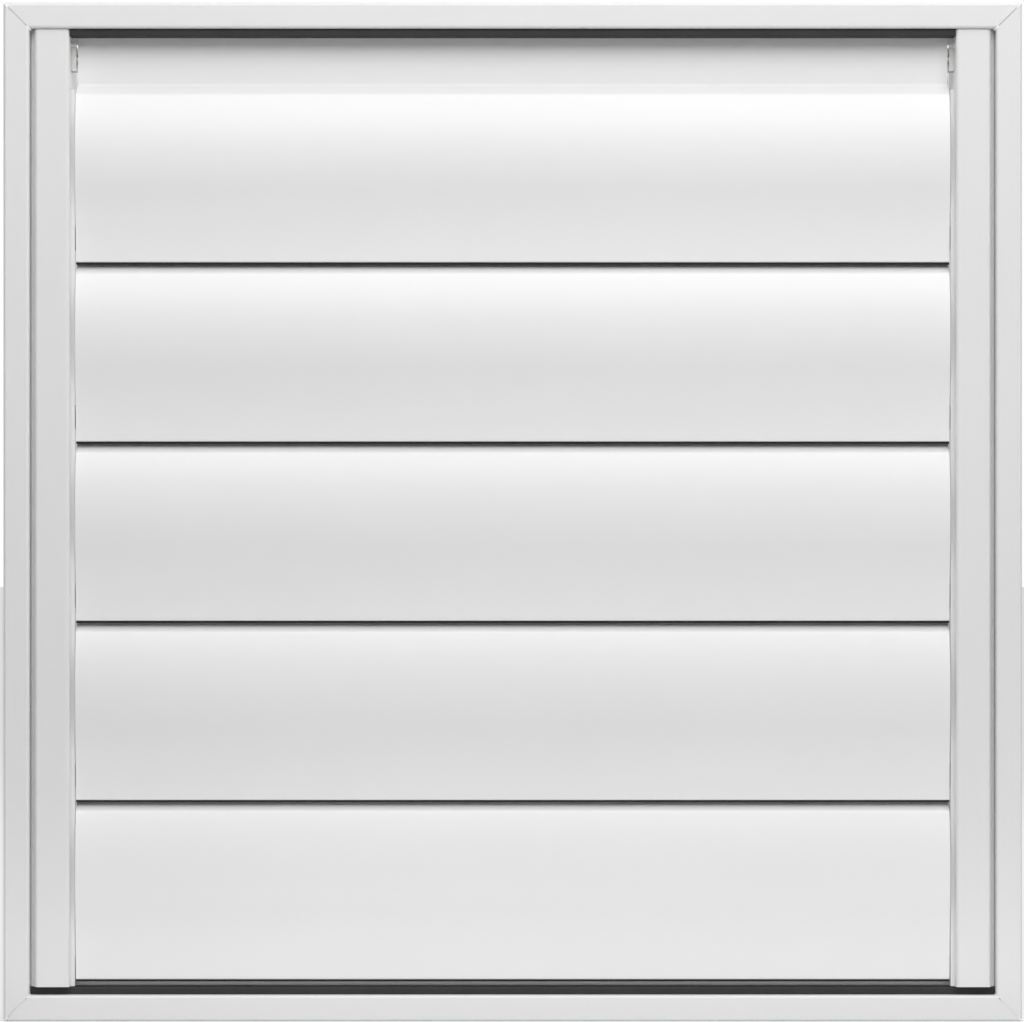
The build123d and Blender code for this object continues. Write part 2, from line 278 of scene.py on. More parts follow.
def rounded(corners: Sequence[tuple[float, float, float]], step: float = 9.0) -> list[Point]:
    """Closed outline with each corner rounded.

    Args:
        corners: (depth, height, radius) of each corner, in order; radius 0 leaves it sharp.
        step: The largest turn between two points of a corner.

    Returns:
        The outline's points.
    """
    outline: list[Point] = []
    for number, (depth, height, radius) in enumerate(corners):
        corner = Vector((depth, height))
        before = (Vector(corners[number - 1][:2]) - corner).normalized()
        after = (Vector(corners[(number + 1) % len(corners)][:2]) - corner).normalized()
        half_angle = before.angle(after) / 2
        if radius == 0:
            outline.append((depth, height))
            continue
        middle = corner + (before + after).normalized() * radius / math.sin(half_angle)
        starts = corner + before * radius / math.tan(half_angle) - middle
        ends = corner + after * radius / math.tan(half_angle) - middle
        first = math.degrees(math.atan2(starts.y, starts.x))
        turn = math.degrees(math.atan2(starts.x * ends.y - starts.y * ends.x, starts.dot(ends)))
        outline += arc(tuple(middle), radius, first, first + turn, step)
    return outline


def signed_area(outline: Sequence[Point]) -> float:
    """Twice the area of an outline, positive where it runs to the left."""
    pairs = zip(outline, list(outline[1:]) + [outline[0]])
    return sum(a[0] * b[1] - a[1] * b[0] for a, b in pairs)


# Finishes


def build_mottle_group() -> bpy.types.NodeTree:
    """Uneven tone and fine relief that paint, metal, nylon and rubber share.

    Returns:
        A shader group with a tone near 1, a height from 0 to 1 and a cloud mask from 0 to 1.
    """
    pen = NodePen.group("surface_mottle", "ShaderNodeTree")
    cloud_size = pen.takes("Cloud Size", "NodeSocketFloat", 0.12)
    grain_size = pen.takes("Grain Size", "NodeSocketFloat", 0.001)
    stretch = pen.takes("Stretch", "NodeSocketVector", (1.0, 1.0, 1.0))
    amount = pen.takes("Tone Change", "NodeSocketFloat", 0.02)
    place = pen.node("ShaderNodeTexCoord").outputs["Object"]
    drawn = pen.node("ShaderNodeVectorMath", {0: place, 1: stretch}, operation="MULTIPLY").outputs[0]
    cloud_scale = pen.maths("DIVIDE", 1.0, cloud_size)
    grain_scale = pen.maths("DIVIDE", 1.0, grain_size)
    cloud = pen.node("ShaderNodeTexNoise", {"Vector": place, "Scale": cloud_scale, "Detail": 3.0})
    grain = pen.node("ShaderNodeTexNoise", {"Vector": drawn, "Scale": grain_scale, "Detail": 2.0})
    centred = pen.maths("SUBTRACT", cloud.outputs["Fac"], NOISE_MIDDLE)
    tone = pen.maths("ADD", pen.maths("MULTIPLY", centred, amount), 1.0)
    pen.gives("Tone", "NodeSocketFloat", tone)
    pen.gives("Height", "NodeSocketFloat", grain.outputs["Fac"])
    pen.gives("Cloud", "NodeSocketFloat", cloud.outputs["Fac"])
    return pen.tree


@dataclass(frozen=True)
class Finish:
    """A surface: colour, gloss, and the mottle that breaks them up."""

    name: str
    slot: str
    colour: Colour
    shade: Colour
    roughness: float
    roughness_change: float
    metallic: float = 0.0
    specular: float = 0.5
    cloud_size: float = 0.12
    grain_size: float = 0.001
    stretch: Colour = (1.0, 1.0, 1.0)
    tone_change: float = 0.03
    relief: float = 0.00002

    def material(self, mottle: bpy.types.NodeTree) -> bpy.types.Material:
        """Builds the material.

        Args:
            mottle: The shared mottle group.

        Returns:
            The material, which reads Object coordinates only.
        """
        made = bpy.data.materials.new(self.name)
        made.use_nodes = True
        pen = NodePen(made.node_tree)
        shader = pen.tree.nodes["Principled BSDF"]
        shader.inputs["Metallic"].default_value = self.metallic
        shader.inputs["Specular IOR Level"].default_value = self.specular
        effect = pen.node("ShaderNodeGroup", node_tree=mottle)
        effect.inputs["Cloud Size"].default_value = self.cloud_size
        effect.inputs["Grain Size"].default_value = self.grain_size
        effect.inputs["Stretch"].default_value = self.stretch
        effect.inputs["Tone Change"].default_value = self.tone_change
        mixed = pen.node("ShaderNodeMix", data_type="RGBA")
        pen.join(effect.outputs["Cloud"], mixed.inputs["Factor"])
        mixed.inputs["A"].default_value = (*self.shade, 1.0)
        mixed.inputs["B"].default_value = (*self.colour, 1.0)
        toned = pen.node("ShaderNodeVectorMath", operation="SCALE")
        pen.join(mixed.outputs["Result"], toned.inputs[0])
        pen.join(effect.outputs["Tone"], toned.inputs["Scale"])
        pen.join(toned.outputs[0], shader.inputs["Base Color"])
        centred = pen.maths("SUBTRACT", effect.outputs["Height"], NOISE_MIDDLE)
        spread = pen.maths("MULTIPLY", centred, self.roughness_change)
        pen.join(pen.maths("ADD", spread, self.roughness), shader.inputs["Roughness"])
        bump = pen.node("ShaderNodeBump", {"Strength": 1.0, "Distance": self.relief})
        pen.join(effect.outputs["Height"], bump.inputs["Height"])
        pen.join(bump.outputs["Normal"], shader.inputs["Normal"])
        return made


class Palette:
    """Every finish on the shutter, made once."""

    ENAMEL = Finish(
        name="white_enamel",
        slot="white_enamel",
        colour=(0.785, 0.785, 0.783),
        shade=(0.775, 0.773, 0.772),
        roughness=0.36,
        roughness_change=0.10,
        grain_size=0.0011,
        tone_change=0.02,
        relief=0.000018,
    )
    # The blades' enamel is a copy of the frame's about 8% lighter: painted light, so the blades read brighter
    # than the frame.
    BLADE_ENAMEL_PAINTED_LIGHT = replace(
        ENAMEL, name="blade_enamel", colour=(0.845, 0.845, 0.843), shade=(0.835, 0.828, 0.829)
    )
    ALUMINIUM = Finish(
        name="mill_aluminium",
        slot="mill_aluminium",
        colour=(0.78, 0.79, 0.80),
        shade=(0.70, 0.71, 0.72),
        roughness=0.36,
        roughness_change=0.18,
        metallic=1.0,
        cloud_size=0.03,
        grain_size=0.0006,
        stretch=(1.0, 1.0, 0.03),
        tone_change=0.12,
        relief=0.00001,
    )
    ZINC = Finish(
        name="zinc_steel",
        slot="zinc_steel",
        colour=(0.66, 0.66, 0.65),
        shade=(0.55, 0.56, 0.58),
        roughness=0.30,
        roughness_change=0.16,
        metallic=1.0,
        cloud_size=0.008,
        grain_size=0.0005,
        tone_change=0.15,
        relief=0.000008,
    )
    NYLON = Finish(
        name="nylon",
        slot="nylon",
        colour=(0.76, 0.757, 0.74),
        shade=(0.70, 0.697, 0.68),
        roughness=0.46,
        roughness_change=0.12,
        cloud_size=0.01,
        grain_size=0.0005,
        tone_change=0.05,
        relief=0.000012,
    )
    # Black rubber of the blade, head and sill seals; their black also stands in for the shade deep in the
    # seams and in the bands at the head and the sill: partly painted shade.
    RUBBER = Finish(
        name="black_rubber",
        slot="black_rubber",
        colour=(0.032, 0.032, 0.033),
        shade=(0.022, 0.022, 0.023),
        roughness=0.72,
        roughness_change=0.20,
        specular=0.35,
        cloud_size=0.02,
        grain_size=0.0004,
        stretch=(0.1, 1.0, 1.0),
        tone_change=0.25,
        relief=0.00004,
    )

    def __init__(self) -> None:
        """Builds the materials on one shared mottle group."""
        mottle = build_mottle_group()
        every = (self.ENAMEL, self.BLADE_ENAMEL_PAINTED_LIGHT, self.ALUMINIUM, self.ZINC, self.NYLON, self.RUBBER)
        self.materials = {finish.name: finish.material(mottle) for finish in every}

    def of(self, finish: Finish) -> bpy.types.Material:
        """The material of a finish."""
        return self.materials[finish.name]


# Geometry trees


def build_extrusion_tree() -> bpy.types.NodeTree:
    """Draws a flat section out along X, shapes both ends and turns the piece about Y.

    The ends are shortened by a mitre that follows the height, by an end gap, and above the
    corner height by a relief whose lower corner is rounded.

    Returns:
        The tree.
    """
    pen = NodePen.group("extruded_section", "GeometryNodeTree")
    section = pen.takes("Section", "NodeSocketGeometry")
    start = pen.takes("Start", "NodeSocketFloat", -0.1)
    end = pen.takes("End", "NodeSocketFloat", 0.1)
    mitre_slope = pen.takes("Mitre Slope", "NodeSocketFloat", 0.0)
    mitre_height = pen.takes("Mitre Height", "NodeSocketFloat", 0.0)
    end_gap = pen.takes("End Gap", "NodeSocketFloat", 0.0)
    relief = pen.takes("Relief", "NodeSocketFloat", 0.0)
    corner_height = pen.takes("Corner Height", "NodeSocketFloat", 1.0)
    corner_radius = pen.takes("Corner Radius", "NodeSocketFloat", 0.0)
    sharp_angle = pen.takes("Sharp Angle", "NodeSocketFloat", SHARP_FOLD)
    turn = pen.takes("Turn", "NodeSocketFloat", 0.0)
    material = pen.takes("Material", "NodeSocketMaterial")

    length = pen.maths("SUBTRACT", end, start)
    prism = pen.node(
        "GeometryNodeExtrudeMesh",
        {"Mesh": section, "Offset": (1.0, 0.0, 0.0), "Offset Scale": length, "Individual": False},
        mode="FACES",
    )
    closing = pen.node("GeometryNodeFlipFaces", {"Mesh": section})
    joined = pen.node("GeometryNodeJoinGeometry")
    pen.join(prism.outputs["Mesh"], joined.inputs[0])
    pen.join(closing.outputs["Mesh"], joined.inputs[0])
    welding = {"Geometry": joined.outputs[0], "Distance": WELD_DISTANCE}
    closed = pen.node("GeometryNodeMergeByDistance", welding)

    place = pen.node("ShaderNodeSeparateXYZ", {0: pen.node("GeometryNodeInputPosition").outputs[0]})
    height = place.outputs["Z"]
    mitre = pen.maths("MULTIPLY", pen.maths("SUBTRACT", mitre_height, height), mitre_slope)
    into_corner = pen.maths("ADD", pen.maths("SUBTRACT", height, corner_height), corner_radius)
    held = pen.maths("MINIMUM", pen.maths("MAXIMUM", into_corner, 0.0), corner_radius)
    squared = pen.maths("SUBTRACT", pen.maths("POWER", corner_radius, 2.0), pen.maths("POWER", held, 2.0))
    rounding = pen.maths("SUBTRACT", corner_radius, pen.maths("SQRT", pen.maths("MAXIMUM", squared, 0.0)))
    above = pen.maths("GREATER_THAN", height, corner_height)
    below = pen.maths("SUBTRACT", 1.0, above)
    eased = pen.maths("MINIMUM", rounding, relief)
    corner = pen.maths("ADD", pen.maths("MULTIPLY", above, relief), pen.maths("MULTIPLY", below, eased))
    cut = pen.maths("ADD", pen.maths("ADD", mitre, end_gap), corner)
    far = pen.maths("GREATER_THAN", place.outputs["X"], pen.maths("MULTIPLY", length, 0.5))
    inward = pen.maths("SUBTRACT", 1.0, pen.maths("MULTIPLY", far, 2.0))
    shift = pen.maths("ADD", start, pen.maths("MULTIPLY", cut, inward))
    offset = pen.node("ShaderNodeCombineXYZ", {"X": shift})
    shaped = pen.node("GeometryNodeSetPosition", {"Geometry": closed.outputs[0], "Offset": offset.outputs[0]})

    turned = pen.node("ShaderNodeCombineXYZ", {"Y": turn})
    placed = pen.node("GeometryNodeTransform", {"Geometry": shaped.outputs[0], "Rotation": turned.outputs[0]})
    fold = pen.node("GeometryNodeInputMeshEdgeAngle").outputs["Unsigned Angle"]
    smooth = pen.node("GeometryNodeSetShadeSmooth", {"Geometry": placed.outputs[0], "Shade Smooth": True})
    creased = pen.node(
        "GeometryNodeSetShadeSmooth",
        {
            "Geometry": smooth.outputs[0],
            "Selection": pen.maths("GREATER_THAN", fold, sharp_angle),
            "Shade Smooth": False,
        },
        domain="EDGE",
    )
    realised = pen.node("GeometryNodeRealizeInstances", {"Geometry": creased.outputs[0]})
    dressed = pen.node("GeometryNodeSetMaterial", {"Geometry": realised.outputs[0], "Material": material})
    pen.gives("Piece", "NodeSocketGeometry", dressed.outputs[0])
    return pen.tree


def build_row_tree() -> bpy.types.NodeTree:
    """Sets copies of one small piece along a straight row.

    Returns:
        The tree.
    """
    pen = NodePen.group("row_of_pieces", "GeometryNodeTree")
    piece = pen.takes("Piece", "NodeSocketGeometry")
    count = pen.takes("Count", "NodeSocketInt", 3)
    first = pen.takes("First Place", "NodeSocketVector")
    step = pen.takes("Step", "NodeSocketVector")
    rotation = pen.takes("Rotation", "NodeSocketVector")
    material = pen.takes("Material", "NodeSocketMaterial")
    line = pen.node(
        "GeometryNodeMeshLine",
        {"Count": count, "Start Location": first, "Offset": step},
        mode="OFFSET",
        count_mode="TOTAL",
    )
    copies = pen.node("GeometryNodeInstanceOnPoints", {"Points": line.outputs[0], "Instance": piece})
    pen.feed(copies.inputs["Rotation"], pen.node("FunctionNodeEulerToRotation", {0: rotation}).outputs[0])
    realised = pen.node("GeometryNodeRealizeInstances", {"Geometry": copies.outputs[0]})
    dressed = pen.node("GeometryNodeSetMaterial", {"Geometry": realised.outputs[0], "Material": material})
    pen.gives("Row", "NodeSocketGeometry", dressed.outputs[0])
    return pen.tree


def keep_shape(piece: bpy.types.Object) -> None:
    """Makes what a piece's modifiers give its plain mesh, and removes them.

    Args:
        piece: The piece, whose first mesh is deleted.
    """
    before = piece.data
    depsgraph = bpy.context.evaluated_depsgraph_get()
    plain = bpy.data.meshes.new_from_object(piece.evaluated_get(depsgraph), depsgraph=depsgraph)
    piece.modifiers.clear()
    piece.data = plain
    bpy.data.meshes.remove(before)
    plain.name = piece.name


class Workshop:
    """Turns sections and small pieces into plain meshes that ride on the bodies."""

    def __init__(self, palette: Palette) -> None:
        """Builds the geometry trees.

        Args:
            palette: The shutter's finishes.
        """
        self.palette = palette
        self.extrusion = build_extrusion_tree()
        self.row = build_row_tree()

    def extrude(
        self,
        name: str,
        outline: Sequence[Point],
        span: tuple[float, float],
        finish: Finish,
        turn: Turn = Turn.HEAD,
        **ends: float,
    ) -> bpy.types.Object:
        """Draws out a section.

        Args:
            name: The piece's name.
            outline: Its section, (depth, height) in millimetres.
            span: Where it starts and ends along its length, in millimetres.
            finish: Its finish.
            turn: The side of the opening it lies on.
            ends: Other inputs of the tree by name with underscores, in millimetres, or a plain slope.

        Returns:
            The piece as a plain mesh.
        """
        points = list(outline) if signed_area(outline) > 0 else list(reversed(outline))
        mesh = bpy.data.meshes.new(name)
        places = [(0.0, depth * MM, height * MM) for depth, height in points]
        mesh.from_pydata(places, [], [range(len(places))])
        values = {"Start": span[0] * MM, "End": span[1] * MM, "Turn": math.radians(turn.value)}
        for key, value in ends.items():
            label = key.replace("_", " ").title()
            values[label] = value if key == "mitre_slope" else value * MM
        return self.settle(name, mesh, self.extrusion, values, finish, weighted=True)

    def repeat(
        self,
        name: str,
        mesh: bpy.types.Mesh,
        places: Sequence[Sequence[float]],
        rotation: Sequence[float],
        finish: Finish,
    ) -> bpy.types.Object:
        """Sets a small piece along a straight, even row.

        Args:
            name: The row's name.
            mesh: One piece, about the origin.
            places: The places of the row, in metres, first to last.
            rotation: How each piece is turned, in radians about X, Y and Z.
            finish: Its finish.

        Returns:
            The row as a plain mesh.
        """
        first = Vector(places[0])
        step = (Vector(places[-1]) - first) / (len(places) - 1)
        values = {"Count": len(places), "First Place": first, "Step": step, "Rotation": Vector(rotation)}
        return self.settle(name, mesh, self.row, values, finish, weighted=False)

    def settle(
        self,
        name: str,
        mesh: bpy.types.Mesh,
        tree: bpy.types.NodeTree,
        values: dict[str, Any],
        finish: Finish,
        weighted: bool,
    ) -> bpy.types.Object:
        """Runs a geometry tree on a mesh and keeps the result as a plain mesh.

        Args:
            name: The piece's name.
            mesh: What the tree starts from.
            tree: The geometry tree.
            values: Its inputs by name.
            finish: The piece's finish.
            weighted: Whether large faces keep their own normals at their edges.

        Returns:
            The piece, at the origin and with no modifiers.
        """
        piece = bpy.data.objects.new(name, mesh)
        bpy.context.scene.collection.objects.link(piece)
        grown = piece.modifiers.new("shape", "NODES")
        grown.node_group = tree
        for key, value in values.items():
            set_input(grown, key, value)
        set_input(grown, "Material", self.palette.of(finish))
        if weighted:
            normals = piece.modifiers.new("normals", "WEIGHTED_NORMAL")
            normals.keep_sharp = True
        keep_shape(piece)
        return piece

    def join(self, piece: bpy.types.Object, extra: bpy.types.Object) -> None:
        """Adds a second piece's mesh to a first, which keeps its name."""
        with bpy.context.temp_override(active_object=piece, selected_editable_objects=[piece, extra]):
            bpy.ops.object.join()


def attach(piece: bpy.types.Object, finish: Finish, *nodes: str) -> None:
    """Makes a piece stand for nodes, on their body.

    Args:
        piece: The finished piece.
        finish: Not used.
        nodes: The nodes it replaces, all on one body.
    """
    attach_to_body(piece, frame["nodes"][nodes[0]]["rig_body"])
    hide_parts(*nodes)
    LOG.info("%s stands for %s with %d faces", piece.name, ", ".join(nodes), len(piece.data.polygons))


# Sub-assemblies


@dataclass
class FrameBars:
    """The four mitred bars: front flange, turned-back rim and sleeve with a rear lip."""

    shop: Workshop
    flange_width: float = 11.6
    flange_wall: float = 1.8
    front_radius: float = 1.4
    inner_radius: float = 0.5
    rim_radius: float = 0.3
    sleeve_wall: float = 1.6
    sleeve_lip: float = 3.0
    mitre_gap: float = 0.4
    screw_radius: float = 2.75
    screw_spacing: float = 300.0
    screw_depth: float = 34.0
    screw_sides: int = 48

    def section(self, half: float, front: float, rear: float) -> list[Point]:
        """The bar's section, with the height as the distance from the middle of the opening.

        Args:
            half: Height of the bar's outer edge.
            front: Depth of the flange's face.
            rear: Depth of the sleeve's rear edge.

        Returns:
            Its outline.
        """
        inner = half - self.flange_width
        back = front + self.flange_wall
        return rounded(
            [
                (0.0, half, self.rim_radius),
                (front, half, self.front_radius),
                (front, inner, self.front_radius),
                (rear - self.sleeve_wall, inner, self.inner_radius),
                (rear - self.sleeve_wall, inner - self.sleeve_lip, self.rim_radius),
                (rear, inner - self.sleeve_lip, self.rim_radius),
                (rear, inner + self.sleeve_wall, self.front_radius),
                (back, inner + self.sleeve_wall, self.inner_radius),
                (back, half - self.flange_wall, self.inner_radius),
                (0.0, half - self.flange_wall, self.rim_radius),
            ]
        )

    def build(self) -> None:
        """Draws out, mitres and drills the bars."""
        sides = {
            "head_rail": Turn.HEAD,
            "right_stile": Turn.RIGHT,
            "sill_rail": Turn.SILL,
            "left_stile": Turn.LEFT,
        }
        low, high = (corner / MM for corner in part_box("head_rail"))
        half = high.z
        outline = self.section(half, low.y, high.y)
        for node, turn in sides.items():
            bar = self.shop.extrude(
                f"{node}_bar",
                outline,
                (-half, half),
                Palette.ENAMEL,
                turn,
                mitre_slope=1.0,
                mitre_height=half,
                end_gap=self.mitre_gap / math.sqrt(2),
            )
            if turn in (Turn.HEAD, Turn.SILL):
                self.drill(bar)
            attach(bar, Palette.ENAMEL, node)

    def drill(self, bar: bpy.types.Object) -> None:
        """Cuts the two fixing holes through a bar's sleeve.

        Args:
            bar: The head or the sill bar.
        """
        low, high = (min(c[2] for c in bar.bound_box), max(c[2] for c in bar.bound_box))
        cutter_mesh = bpy.data.meshes.new("screw_hole_cutter")
        shape = bmesh.new()
        for side in (-0.5, 0.5):
            made = bmesh.ops.create_cone(
                shape,
                cap_ends=True,
                segments=self.screw_sides,
                radius1=self.screw_radius * MM,
                radius2=self.screw_radius * MM,
                depth=2 * (high - low),
            )
            middle = Vector((side * self.screw_spacing * MM, self.screw_depth * MM, (low + high) / 2))
            bmesh.ops.translate(shape, verts=made["verts"], vec=middle)
        shape.to_mesh(cutter_mesh)
        shape.free()
        cutter = bpy.data.objects.new("screw_hole_cutter", cutter_mesh)
        bpy.context.scene.collection.objects.link(cutter)
        cut = bar.modifiers.new("holes", "BOOLEAN")
        cut.object = cutter
        cut.solver = "EXACT"
        keep_shape(bar)
        bpy.data.objects.remove(cutter)
        bpy.data.meshes.remove(cutter_mesh)


@dataclass
class PivotRails:
    """The two vertical channels that carry the bushes, each with a fin behind the blades' end gap."""

    shop: Workshop
    width: float = 15.8
    groove: float = 2.2
    wall: float = 1.4
    bend_radius: float = 1.8
    joggle_start: float = 0.8
    joggle_run: float = 1.6
    fin_front: float = 2.0
    fin_wall: float = 1.2
    fin_radius: float = 0.3
    fin_below_top: float = 26.5

    def section(self, low: Vector, high: Vector) -> list[Point]:
        """The channel's section.

        Args:
            low: The right-hand rail's lowest corner, in millimetres.
            high: Its highest corner.

        Returns:
            Its outline, with the height as the distance from the middle of the opening.
        """
        seat, face, rear = high.x, low.y, high.y
        outer = seat - self.groove
        inner = outer - self.width
        slant = math.degrees(math.atan2(self.groove, self.joggle_run))
        tangent = self.bend_radius * math.tan(math.radians(slant / 2))
        slope = math.hypot(self.joggle_run, self.groove)
        line = SectionLine((rear, inner), 180.0)
        line.run(rear - face - self.bend_radius).bend(self.bend_radius, -90.0)
        line.run(self.width - 2 * self.bend_radius).bend(self.bend_radius, -90.0)
        line.run(self.joggle_start - face - self.bend_radius - tangent).bend(self.bend_radius, slant)
        line.run(slope - 2 * tangent).bend(self.bend_radius, -slant)
        line.run(rear - self.joggle_start - self.joggle_run - tangent)
        return line.points + list(reversed(line.beside(-self.wall)))

    def fin_section(self, low: Vector, high: Vector) -> list[Point]:
        """The fin's section, rooted in the channel's inner leg."""
        root = high.x - self.groove - self.width + self.wall / 2
        back = self.fin_front + self.fin_wall
        return rounded(
            [
                (self.fin_front, root, 0.0),
                (back, root, 0.0),
                (back, low.x, self.fin_radius),
                (self.fin_front, low.x, self.fin_radius),
            ]
        )

    def build(self) -> None:
        """Draws out both rails."""
        low, high = (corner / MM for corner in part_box("right_pivot_rail"))
        fin_top = high.z - self.fin_below_top
        channel = self.section(low, high)
        fin_outline = self.fin_section(low, high)
        for node, turn, sign in (("right_pivot_rail", Turn.RIGHT, -1), ("left_pivot_rail", Turn.LEFT, 1)):
            span = sorted((sign * low.z, sign * high.z))
            fin_span = sorted((sign * low.z, sign * fin_top))
            rail = self.shop.extrude(f"{node}_channel", channel, span, Palette.ENAMEL, turn)
            fin = self.shop.extrude(f"{node}_fin", fin_outline, fin_span, Palette.ENAMEL, turn)
            self.shop.join(rail, fin)
            attach(rail, Palette.ENAMEL, node)


@dataclass
class Blades:
    """The five extruded blades with their seals, drawn from one section."""

    shop: Workshop
    wall: float = 1.2
    front: float = -3.6
    top: float = 10.8
    upstand: float = 21.9
    relief: float = 0.5
    corner_radius: float = 1.2
    corner_drop: float = 0.6
    ledge_height: float = 5.8
    ledge_slope: float = 45.0
    cove_radius: float = 1.5
    shoulder_radius: float = 3.0
    shoulder_step: float = 3.0
    roll_share: float = 0.56
    roll_slope: float = 18.0
    turn_slope: float = 10.0
    flare_slope: float = 1.0
    fine_roll: float = 3.0
    fine_step: float = 0.1
    curve_step: float = 0.75
    foot_radius: float = 0.45
    foot_ease: float = 0.3
    edge_radius: float = 0.2
    port_radius: float = 3.6
    bore_radius: float = 2.02
    port_slot: float = 2.4
    hook_wall: float = 1.1
    hook_lip: float = 2.4
    lug_slot: float = 1.9
    rib_height: float = 1.0
    hem_height: float = 5.5
    hem_wall: float = 1.1
    hem_groove: float = 1.8
    hem_leg: float = 4.1
    seal_drop: float = 1.1
    seal_clearance: float = 0.1
    seal_radius: float = 0.5
    wiper_thickness: float = 1.0
    wiper_rise: float = 0.2
    wiper_gap: float = 0.35
    half: float = field(init=False)
    pitch: float = field(init=False)
    pivots: dict[str, Point] = field(init=False)

    def __post_init__(self) -> None:
        """Takes the blades' pivots, pitch and half length from the frame."""
        self.pivots = {}
        for joint in frame["joints"]:
            if joint["name"].endswith("_swing"):
                number = joint["child"].rsplit("_", 1)[1]
                depth, height = (value / MM for value in joint["pos_m"][1:])
                self.pivots[number] = (depth, height)
        heights = sorted(height for _, height in self.pivots.values())
        self.pitch = heights[1] - heights[0]
        self.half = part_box("blade_1")[1].x / MM

    def face_line(self) -> SectionLine:
        """The blade's front line, from the top of the upstand down to the lower edge."""
        face_height = self.pitch - self.ledge_height
        slopes = (self.ledge_slope, self.roll_slope, self.turn_slope, self.flare_slope)
        ledge_sine, roll_sine, turn_sine, flare_sine = (math.sin(math.radians(slope)) for slope in slopes)
        ledge_fall = (
            self.ledge_height
            - self.cove_radius * ledge_sine
            - self.shoulder_radius * (ledge_sine - roll_sine)
        )
        ledge_run = ledge_fall / math.cos(math.radians(self.ledge_slope))
        roll_radius = self.roll_share * face_height / (roll_sine + turn_sine)
        flare_radius = (1 - self.roll_share) * face_height / (flare_sine + turn_sine)
        line = SectionLine((self.front, self.top), -90.0)
        line.run(self.upstand).bend(self.cove_radius, -self.ledge_slope).run(ledge_run)
        line.bend(self.shoulder_radius, self.ledge_slope - self.roll_slope, self.shoulder_step)
        line.bend(roll_radius, self.fine_roll, self.fine_step)
        line.bend(roll_radius, self.roll_slope + self.turn_slope - self.fine_roll, self.curve_step)
        line.bend(flare_radius, -self.turn_slope - self.flare_slope, self.curve_step / 2)
        return line

    def groove(self) -> tuple[float, float]:
        """Depths of the front and the rear of the seal's groove."""
        foot = self.face_line().points[-1][0]
        front = foot + self.wall + self.hem_height * math.tan(math.radians(self.flare_slope))
        return front, front + self.hem_groove

    def section(self) -> list[Point]:
        """The blade's whole outline about its pivot: face, hem, pin port, lug slot and hook."""
        line = self.face_line()
        back = line.beside(self.wall)
        bottom = self.top - self.upstand - self.pitch
        hem_top = bottom + self.hem_height
        hem_under = hem_top - self.hem_wall
        groove_rear = self.groove()[1]
        leg_rear = groove_rear + self.hem_wall
        leg_end = hem_top - self.hem_leg
        foot_to_hem = [p for p in reversed(back) if p[1] < hem_under]
        hem_to_top = [p for p in reversed(back) if hem_top < p[1] < self.top - self.upstand + self.wall]
        rear = self.front + self.wall
        lip_front = rear + self.lug_slot
        lip_rear = lip_front + self.hook_wall
        half_slot = self.port_slot / 2

        def port_angle(depth: float, side: float) -> float:
            """Angle on the port's outside at a depth, above (1) or below (-1) the pivot."""
            return side * math.degrees(math.acos(depth / self.port_radius))

        slot_angle = math.degrees(math.asin(half_slot / self.port_radius))
        bore_angle = math.degrees(math.asin(half_slot / self.bore_radius))
        full = 360.0
        middle = (0.0, 0.0)
        foot_depth, foot_height = line.points[-1]
        eased = self.foot_radius * self.foot_ease
        outline = line.points[:-1]
        outline += [
            (foot_depth, foot_height + self.foot_radius),
            (foot_depth + eased, foot_height + eased),
            (foot_depth + self.foot_radius, foot_height),
        ]
        outline += foot_to_hem
        outline += [(foot_to_hem[-1][0], hem_under), (groove_rear, hem_under), (groove_rear, leg_end)]
        outline += [(leg_rear, leg_end), (leg_rear, hem_top), (hem_to_top[0][0], hem_top)]
        outline += hem_to_top
        outline += arc(middle, self.port_radius, port_angle(rear, -1.0), -slot_angle)
        outline += arc(middle, self.bore_radius, full - bore_angle, bore_angle)
        outline += arc(middle, self.port_radius, slot_angle, port_angle(lip_rear, 1.0))
        rib_top = self.port_radius + self.rib_height
        outline += [(lip_rear, rib_top), (lip_front, rib_top)]
        outline += arc(middle, self.port_radius, port_angle(lip_front, 1.0), port_angle(rear, 1.0))
        hook_under = self.top - self.hook_wall
        lip_end = self.top - self.hook_lip
        outline += [(rear, hook_under), (lip_front, hook_under), (lip_front, lip_end)]
        outline += [(lip_rear, lip_end), (lip_rear, self.top)]
        return outline

    def seal_section(self) -> list[Point]:
        """The rubber strip's outline: a plug in the groove, a rounded bead and a wiper."""
        bottom = self.top - self.upstand - self.pitch
        groove_front, groove_rear = self.groove()
        plug_front = groove_front + self.seal_clearance
        plug_rear = groove_rear - self.seal_clearance
        plug_top = bottom + self.hem_height - self.hem_wall
        bead_end = bottom - self.seal_drop
        wiper_end = self.front - self.wiper_gap
        wiper_low = bottom + self.wiper_rise
        wiper_high = wiper_low + self.wiper_thickness
        return rounded(
            [
                (plug_front, plug_top, self.edge_radius),
                (plug_front, bead_end, self.seal_radius),
                (plug_rear, bead_end, self.seal_radius),
                (plug_rear, wiper_low, self.edge_radius),
                (wiper_end, wiper_low, self.edge_radius),
                (wiper_end, wiper_high, self.edge_radius),
                (plug_rear, wiper_high, self.edge_radius),
                (plug_rear, plug_top, self.edge_radius),
            ]
        )

